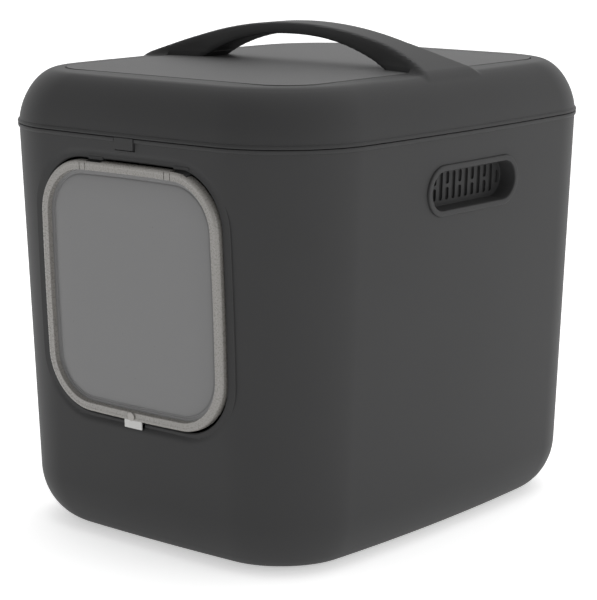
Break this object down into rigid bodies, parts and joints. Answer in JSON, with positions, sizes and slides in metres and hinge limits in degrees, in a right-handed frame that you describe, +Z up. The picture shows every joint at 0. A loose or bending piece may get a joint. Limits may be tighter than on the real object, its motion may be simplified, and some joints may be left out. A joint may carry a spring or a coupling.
{
  "type": "cat litter box with hood",
  "caption": "Tapered cat litter tub with a hinged hood, arched carry handle, see-through swing flap door, front clip and vented side grips.",
  "frame": {"origin": "middle of the tub's footprint, on the floor", "axes": "+Z up, -Y towards the flap door, +X towards the viewer's right when facing the door"},
  "size_m": [0.403, 0.5031, 0.47],
  "materials": {
    "shell": "matte, fine grain",
    "panel": "matte, dotted grain",
    "ring": "satin, slightly translucent",
    "pane": "smoked, translucent",
    "lock": "satin",
    "pin_steel": "satin",
    "charcoal": "felted"
  },
  "bodies": {
    "base": {"tub": "shell", "hinge_pin_left": "pin_steel", "hinge_pin_right": "pin_steel", "grip_left": "shell", "grip_right": "shell", "filter_left": "charcoal", "filter_right": "charcoal", "filter_cover_left": "shell", "filter_cover_right": "shell"},
    "hood": {"hood": "shell", "handle_liner": "shell", "top_panel": "panel", "clip_pin": "pin_steel"},
    "clip": {"front_clip": "shell"},
    "flap": {"flap_ring": "ring", "flap_pane": "pane", "flap_pin_left": "pin_steel", "flap_pin_right": "pin_steel"},
    "lock": {"flap_lock": "lock", "lock_knob": "lock"}
  },
  "joints": [
    {"name": "hood_hinge", "type": "hinge", "parent": "base", "child": "hood", "pos_m": [0, 0.2516, 0.3838], "axis": [-1, 0, 0], "range_deg": [0, 100]},
    {"name": "clip_swing", "type": "hinge", "parent": "hood", "child": "clip", "pos_m": [0, -0.2416, 0.3813], "axis": [-1, 0, 0], "range_deg": [0, 25]},
    {"name": "flap_swing", "type": "hinge", "parent": "base", "child": "flap", "pos_m": [0, -0.24242, 0.35306], "axis": [1, 0, 0], "range_deg": [-70, 80]},
    {"name": "lock_slide", "type": "slide", "parent": "flap", "child": "lock", "axis": [0, 0.0393, -0.9992], "range_m": [0, 0.006]}
  ]
}
